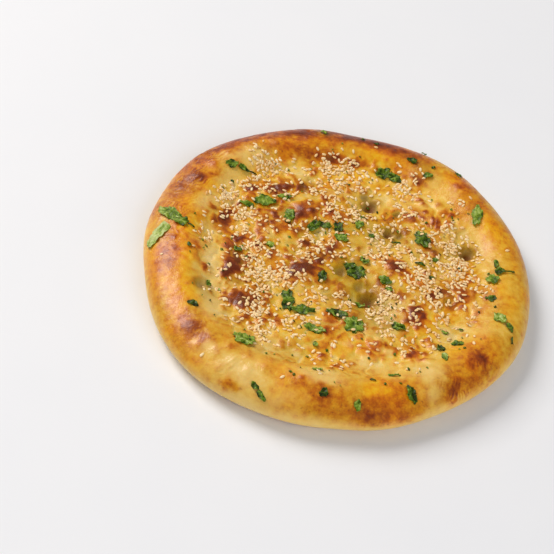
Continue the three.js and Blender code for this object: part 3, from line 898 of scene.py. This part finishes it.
def leafOutline(draw, lobes, count):
    # radius of a toothed, lobed leaf round its middle, about 1 at the tips
    turn = np.linspace(0.0, 2.0 * math.pi, count, endpoint=False)
    start = draw.uniform(0.0, 6.3) if lobes > 2 else 0.0
    deep = draw.uniform(0.34, 0.52)
    lobe = np.abs(np.cos(0.5 * lobes * (turn - start)))
    radius = 1.0 - deep + deep * lobe ** 0.55
    uneven = 0.16 * np.cos(turn + draw.uniform(0.0, 6.3))
    radius *= 1.0 + uneven + 0.10 * np.cos(2 * turn + draw.uniform(0.0, 6.3))
    radius += 0.16 * np.abs(np.sin(1.5 * lobes * (turn - start))) ** 0.8
    radius += draw.uniform(-0.04, 0.04, count)
    return turn, radius / radius.max(), lobe


def leafSheet(tree, draw, leaf, look):
    # one leaf as a thin closed sheet draped on what lies below it, None beside the bread
    x, y, length, width, heading, tone, lobes, curl = leaf
    rings, count = look["rings"], look["points"]
    length, width = length * look["grow"], width * look["grow"]
    turn, radius, lobe = leafOutline(draw, lobes, count)
    middlePoint, normal = surfaceAt(tree, x, y, look["reach"])
    if middlePoint is None:
        return None
    toTip = Vector((math.cos(math.radians(heading)), math.sin(math.radians(heading)), 0.0))
    across = normal.cross(toTip).normalized()
    along = across.cross(normal).normalized()
    # each flat point holds its place along and across the leaf, and its distance from the middle
    flat = [(0.0, 0.0, 0.0)]
    for ring in range(1, rings + 1):
        share = ring / rings
        for a, r in zip(turn, radius):
            out = share * r
            flat.append((out * math.cos(a) * length / 2, out * math.sin(a) * width / 2, out))
    flat = np.array(flat)
    phase = draw.uniform(0.0, 50.0, 3)
    wave = np.stack((flat[:, 0], flat[:, 1], np.zeros(len(flat))), axis=1) + phase
    ridge = 1.0 - 2.2 * np.abs(softNoise(wave, 3.0, 5)) + 0.5 * softNoise(wave, 1.3, 6)
    wideLeaf = 5.0  # a narrower leaf crinkles less
    crinkle = look["crinkle"] * min(1.0, width / wideLeaf) * ridge
    lift = look["lift"] + 0.5 + 0.9 * crinkle + curl * flat[:, 2] ** 2.5 * draw.uniform(0.4, 0.9)
    lift += curl * 0.35 * np.cos(lobes * np.arctan2(flat[:, 1], flat[:, 0]) + phase[0]) * flat[:, 2] ** 2
    axis = np.concatenate(([0.0], np.tile(lobe, rings)))
    lift -= look["fold"] * axis ** 3 * flat[:, 2]
    top = []
    for (a, b, _), height in zip(flat, lift):
        start = middlePoint + along * a + across * b + normal * look["standOff"]
        hit = tree.ray_cast(start, -normal)[0]
        ground = hit if hit is not None else start - normal * look["standOff"]
        top.append(ground + normal * max(height, look["lowest"]))
    top = np.array(top)
    under = top - np.array(normal) * look["thickness"]
    faces = sheetFaces(rings, count)
    # painted light: crinkle ridges are painted paler as highlights and the creased middles of the lobes
    # darker as painted shade. The underside is painted darker than the top.
    shade = np.clip(tone + 0.04 + 0.30 * (ridge - 0.3) - 0.20 * axis ** 6 * flat[:, 2], 0.0, 1.0)
    return np.concatenate((top, under)), faces, np.concatenate((shade, shade * 0.8))


def sheetFaces(rings, count):
    # triangles of a sheet's top, its underside and the narrow edge between them
    faces = []
    for k in range(count):
        step = (k + 1) % count
        faces.append((0, 1 + k, 1 + step))
        for ring in range(rings - 1):
            a, b = 1 + ring * count + k, 1 + ring * count + step
            faces.append((a, a + count, b + count))
            faces.append((a, b + count, b))
    total = 1 + rings * count
    lower = [(a + total, c + total, b + total) for a, b, c in faces]
    edge = []
    for k in range(count):
        a, b = 1 + (rings - 1) * count + k, 1 + (rings - 1) * count + (k + 1) % count
        edge.append((a, a + total, b + total))
        edge.append((a, b + total, b))
    return np.array(faces + lower + edge)


def leafPile(tree):
    draw = np.random.default_rng(coriander["leafSeed"])
    sheets = [leafSheet(tree, draw, leaf, coriander) for leaf in leaves]
    for x1, y1, x2, y2, width in stems:
        length = math.hypot(x2 - x1, y2 - y1)
        heading = math.degrees(math.atan2(y2 - y1, x2 - x1))
        stem = ((x1 + x2) / 2, (y1 + y2) / 2, length, width, heading, 0.12, 2, 0.3)
        sheets.append(leafSheet(tree, draw, stem, stemLook))
    return joined([made for made in sheets if made is not None])


def crumbPile(tree):
    draw = np.random.default_rng(coriander["crumbSeed"])
    crumbs = []
    while len(crumbs) < coriander["crumbs"]:
        reach = coriander["crumbReach"] * math.sqrt(draw.uniform(0.0, 1.0))
        turn = draw.uniform(0.0, 2.0 * math.pi)
        length = draw.uniform(0.7, 2.0)
        crumb = (
            reach * math.cos(turn), reach * math.sin(turn), length, length * draw.uniform(0.4, 0.9),
            draw.uniform(0.0, 180.0), draw.uniform(0.05, 0.6), 3, 0.3,
        )
        made = leafSheet(tree, draw, crumb, crumbLook)
        if made is not None:
            crumbs.append(made)
    return joined(crumbs)


def corianderMaterial():
    sheet = NodeSheet("fresh coriander")
    shade = sheet.painted("shade")
    blotch = sheet.remap(sheet.noise(1.1, 4.0), 0.3, 0.7, -0.22, 0.22)
    colour = sheet.ramp(sheet.maths("ADD", shade, blotch, clamp=True), [
        (0.00, (34, 44, 0)), (0.25, (66, 90, 6)), (0.50, (106, 132, 24)), (0.75, (152, 172, 62)),
        (1.00, (196, 206, 132)),
    ])
    veins = sheet.bump(sheet.noise(0.7, 4.0), 0.30, 0.9)
    sheet.set(Base_Color=colour, Roughness=0.46, Normal=veins)
    sheet.set(Subsurface_Weight=0.10, Subsurface_Radius=(0.5, 1.0, 0.2), Subsurface_Scale=0.5 * mm)
    sheet.set(Specular_IOR_Level=0.35)
    return sheet.material


herbMaterial = corianderMaterial()
leafPoints, leafFaces, leafShade = leafPile(crustTree)
leafPiece = makePiece("corianderLeaves", leafPoints, leafFaces, {"shade": leafShade}, herbMaterial)
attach(leafPiece, "root")
print(f"leaves made: {len(leafFaces)} triangles")

# sesame seeds

sesame = {
    "length": 2.7,
    "width": 1.46,
    "thickness": 0.76,
    "rings": 6,                 # steps from the round end to the pointed one
    "sides": 8,
    "sizeSpread": 0.075,        # how much the seeds differ in size
    "stoutSpread": 0.08,        # and in width
    "apart": 1.25,              # closer seeds lie on top of each other
    "closest": 0.5,             # none comes nearer than this
    "sunk": 0.24,               # share of the thickness that is baked in
    "stack": 0.62,              # rise for each seed below, in thicknesses
    "tip": 9.0,                 # usual tilt, in degrees
    "tipStacked": 14.0,         # added for each seed below
    "roll": 14.0,
    "steepest": 0.35,           # seeds rolled off slopes with an upward normal below this
    "reach": 1.3,               # bumps finer than this don't tilt a seed
    "loose": 420,               # seeds that fell outside the drifts
    "looseReach": 82.0,         # none of them lies further out than this
    "nearSide": -48.0,          # fewer rolled nearer than this y
    "nearShare": 0.2,
    "share": 0.86,              # of the counts below
    "gather": 0.85,             # of the spreads below
    "onLeaves": 0.25,           # how many of those that fell on a leaf stayed there
    "placeSeed": 17,
    "lieSeed": 23,
}

# drifts of seeds: x, y, spread, count
seedDrifts = [
    (-48, 66, 5.5, 75), (-58, 57, 4, 16), (-12, 74, 6.5, 75), (-67, 34, 5.5, 65), (-58, 46, 3, 12),
    (-52, 24, 6, 48), (-63, 25, 4, 20), (-47, 50, 4, 15), (-35, 46, 4.5, 18), (-57, 13, 4, 16),
    (-74, 3, 7, 16), (-48, 2, 6, 36), (-41, -17, 7, 95), (-28, -18, 5, 38), (-46, -6, 5, 36),
    (-19, 3, 5.5, 26), (-13, 15, 4, 16), (-6, 12, 7, 38), (-8, 35, 7, 34), (-18, 56, 6, 30),
    (-8, 50, 5, 22), (-24, 22, 4, 14), (-41, -43, 5, 60), (-36, -55, 4.5, 44), (-40, -26, 6, 55),
    (-12, -25, 5, 28), (-20, -45, 5.5, 30), (-9, -44, 4.5, 18), (-52, -56, 3.5, 12), (-64, -37, 4, 6),
    (-56, -43, 3, 5), (-36, -65, 4, 7), (-28, -63, 5, 10), (-17, -56, 5, 14), (4, -53, 3, 4),
    (-5, -65, 5, 6), (2, -74, 5, 9), (9, -71, 5, 11), (45, -2, 7, 66), (66, 8, 7, 95),
    (56, -9, 5, 28), (56, -16, 5, 20), (46.5, -31.5, 2.2, 9), (45, -25.5, 2.5, 5), (62, -24, 2.5, 9),
    (31, -22, 6, 28), (28, -31, 6, 42), (33, -45, 6, 18), (43, -48, 5, 18), (42, -56, 3, 4),
    (7, -28, 6, 26), (2, -24, 4, 12), (30, -15, 4, 12), (54, -42, 5, 9), (62, -37, 5, 11),
    (56, -49, 3, 4), (77, -40, 3, 4), (52, -68, 3, 2), (74, -11, 4, 9), (76, -25, 3, 5),
    (83, 1, 4, 13), (66, -14, 4, 6), (64, 26, 6, 64), (78, 25, 3.5, 9), (74, 34, 4, 12),
    (68, 15, 6, 60), (51, 37, 5, 22), (58, 45, 5, 12), (32, 66, 5.5, 56), (4, 65, 6.5, 50),
    (-8, 60, 4, 16), (-2, 76, 5, 32), (34, 50, 5, 18), (64, 62, 3.5, 9), (28, 81, 2.5, 3),
    (38, 77, 3, 8), (13, 38, 5.5, 32), (3, 44, 5, 18), (-6, 42, 4, 14), (23, 28, 5, 28),
    (24, 20, 5, 22), (6, 31, 4, 14), (30, 40, 5, 14), (32, 18, 5, 14), (44, 20, 5, 10),
    (32, 9, 5, 16), (44, 5, 6, 40), (18, 8, 4.5, 16), (2, 8, 4, 7), (-58, 74, 3, 3),
]

# single seeds on the rim: x, y
rimSeeds = [(-20.0, -92.0), (-96.0, -22.0), (-63.0, -84.0), (12.0, 93.0), (86.0, 70.0), (94.0, 30.0)]


def seedBlank(shape):
    # one teardrop seed lying along X, its pointed end towards +X
    rings, sides = shape["rings"], shape["sides"]
    fullest = 1.7  # about how wide the fullest ring is before it is scaled to the seed's own width
    points = [(-shape["length"] / 2, 0.0, 0.0)]
    for i in range(1, rings):
        t = i / rings
        along = -math.cos(math.pi * t) * shape["length"] / 2
        full = math.sin(math.pi * t) ** 0.85 * (1.0 - 0.42 * t ** 2)
        wide, thick = full * shape["width"] / fullest, full * shape["thickness"] / fullest
        for k in range(sides):
            a = 2.0 * math.pi * (k + 0.5) / sides
            points.append((along, wide * math.cos(a), thick * math.sin(a)))
    points.append((shape["length"] / 2, 0.0, 0.0))
    last = len(points) - 1
    faces = []
    for k in range(sides):
        step = (k + 1) % sides
        faces.append((0, 1 + step, 1 + k))
        for i in range(rings - 2):
            a, b = 1 + i * sides + k, 1 + i * sides + step
            faces.append((a, b, b + sides))
            faces.append((a, b + sides, a + sides))
        faces.append((last, last - sides + k, last - sides + step))
    return np.array(points), np.array(faces)


def seedPlaces(shape):
    # where seeds lie, seen from above, and how many lie below each
    deepCrater = 1.7
    draw = np.random.default_rng(shape["placeSeed"])
    wanted = []
    for x, y, spread, count in seedDrifts:
        spread *= shape["gather"]
        for _ in range(round(count * shape["share"])):
            wanted.append((draw.normal(x, spread), draw.normal(y, spread)))
    drifted = len(wanted)
    while len(wanted) < drifted + shape["loose"]:
        reach = shape["looseReach"] * math.sqrt(draw.uniform(0.0, 1.0))
        turn = draw.uniform(0.0, 2.0 * math.pi)
        x, y = reach * math.cos(turn), reach * math.sin(turn)
        if y > shape["nearSide"] or draw.uniform() < shape["nearShare"]:
            wanted.append((x, y))
    wanted += rimSeeds
    deep = [(x, y, 0.75 * size) for x, y, size, depth in craters if depth > deepCrater]
    placed = []
    for index in draw.permutation(len(wanted)):
        x, y = wanted[index]
        if any(math.hypot(x - cx, y - cy) < clear for cx, cy, clear in deep):
            continue
        under = 0
        if placed:
            spots = np.array(placed)
            gaps = np.hypot(spots[:, 0] - x, spots[:, 1] - y)
            under = int((gaps < shape["apart"]).sum())
            if under > 1 or gaps.min() < shape["closest"]:
                continue
        placed.append((x, y, under))
    return placed


def scatterSeeds(tree, leafTree, shape):
    # every seed laid on crust or leaf, with its toasting: paler seeds are more common
    blank, blankFaces = seedBlank(shape)
    pointedEnd = blank[:, 0] > shape["length"] * 0.36
    draw = np.random.default_rng(shape["lieSeed"])
    laid = []
    for x, y, under in seedPlaces(shape):
        size = draw.normal(1.0, shape["sizeSpread"])
        stout = draw.normal(1.0, shape["stoutSpread"])
        heading = draw.uniform(0.0, 2.0 * math.pi)
        tip = draw.normal(0.0, shape["tip"] + shape["tipStacked"] * under)
        roll = draw.normal(0.0, shape["roll"])
        toast = draw.beta(1.6, 4.5)
        if fromAbove(leafTree, x, y) is not None and draw.uniform() > shape["onLeaves"]:
            continue
        hit, normal = surfaceAt(tree, x, y, shape["reach"])
        if hit is None or normal.z < shape["steepest"]:
            continue
        lie = Vector((0.0, 0.0, 1.0)).rotation_difference(normal).to_matrix()
        turn = Matrix.Rotation(heading, 3, "Z")
        tilt = Matrix.Rotation(math.radians(tip), 3, "Y") @ Matrix.Rotation(math.radians(roll), 3, "X")
        matrix = np.array(lie @ turn @ tilt)
        lift = shape["thickness"] * (0.5 - shape["sunk"] + shape["stack"] * under)
        points = blank * (size, size * stout, size) @ matrix.T + np.array(hit + normal * lift)
        laid.append((points, blankFaces, np.clip(toast + 0.25 * pointedEnd, 0.0, 1.0)))
    return (*joined(laid), len(laid))


def sesameMaterial():
    sheet = NodeSheet("hulled sesame")
    toast = sheet.painted("toast")
    speckle = sheet.remap(sheet.noise(0.5, 2.0), 0.3, 0.7, -0.08, 0.08)
    colour = sheet.ramp(sheet.maths("ADD", toast, speckle, clamp=True), [
        (0.00, (253, 227, 178)), (0.35, (246, 208, 146)), (0.70, (228, 174, 98)), (1.00, (190, 128, 56)),
    ])
    ridges = sheet.bump(sheet.noise(0.35, 2.0), 0.06, 0.5)
    sheet.set(Base_Color=colour, Roughness=0.42, Normal=ridges)
    sheet.set(Subsurface_Weight=0.15, Subsurface_Radius=(1.0, 0.7, 0.4), Subsurface_Scale=0.8 * mm)
    return sheet.material


leafTree = surfaceTree(leafPoints, leafFaces)
crustAndLeaves = surfaceTree(*joined([(skinPoints, skinFaces), (leafPoints, leafFaces)]))
seedPoints, seedFaces, seedToast, seedCount = scatterSeeds(crustAndLeaves, leafTree, sesame)
seeds = makePiece("sesameSeeds", seedPoints, seedFaces, {"toast": seedToast}, sesameMaterial())
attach(seeds, "root")
print(f"sesame made: {seedCount} seeds, {len(seedFaces)} triangles")

# the smallest green bits fell last, on crust and seeds alike
everything = surfaceTree(*joined([(skinPoints, skinFaces), (leafPoints, leafFaces), (seedPoints, seedFaces)]))
crumbPoints, crumbFaces, crumbShade = crumbPile(everything)
crumbPiece = makePiece("corianderCrumbs", crumbPoints, crumbFaces, {"shade": crumbShade}, herbMaterial)
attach(crumbPiece, "root")
print(f"crumbs made: {len(crumbFaces)} triangles")

# floor and light

studio = {
    "floorColours": [(240, 240, 240), (236, 237, 238)],
    "floorBlotch": 60.0,
    "floorSize": 6000.0,
    "floorLevel": -0.05,        # just below the bread, so that the two faces don't share a plane
    "skyColour": (236, 240, 248),
    "skyStrength": 0.24,
    "lamps": [
        # name, place, size, watts, colour, whether it shows as a sheen on the crust
        ("windowLeft", (-1700.0, 1150.0, 1800.0), 1400.0, 68.0, (255, 250, 246), True),
        ("frontFill", (1300.0, -1900.0, 1500.0), 2200.0, 42.0, (252, 252, 255), False),
    ],
}


def makeStudio(setup):
    half, level = setup["floorSize"] / 2, setup["floorLevel"]
    corners = np.array([(x * half, y * half, level) for x, y in ((-1, -1), (1, -1), (1, 1), (-1, 1))])
    sheet = NodeSheet("pale floor")
    pale, dim = setup["floorColours"]
    tint = sheet.mix(sheet.noise(setup["floorBlotch"], 2.0), srgb(*pale), srgb(*dim))
    sheet.set(Base_Color=tint, Roughness=0.6)
    floor = makePiece("floor", corners, np.array([(0, 1, 2), (0, 2, 3)]), {}, sheet.material)
    world = bpy.data.worlds.new("softSky")
    world.use_nodes = True
    sky = world.node_tree.nodes["Background"]
    sky.inputs["Color"].default_value = srgb(*setup["skyColour"])
    sky.inputs["Strength"].default_value = setup["skyStrength"]
    bpy.context.scene.world = world
    for name, place, size, watts, colour, sheen in setup["lamps"]:
        data = bpy.data.lights.new(name, "AREA")
        data.size = size * mm
        data.energy = watts
        data.color = srgb(*colour)[:3]
        lamp = bpy.data.objects.new(name, data)
        bpy.context.scene.collection.objects.link(lamp)
        lamp.location = Vector(place) * mm
        lamp.visible_glossy = sheen
        lamp.rotation_mode = "QUATERNION"
        lamp.rotation_quaternion = Vector(place).to_track_quat("Z", "Y")
    bpy.context.scene.view_settings.view_transform = "Standard"


makeStudio(studio)
print("studio lit")
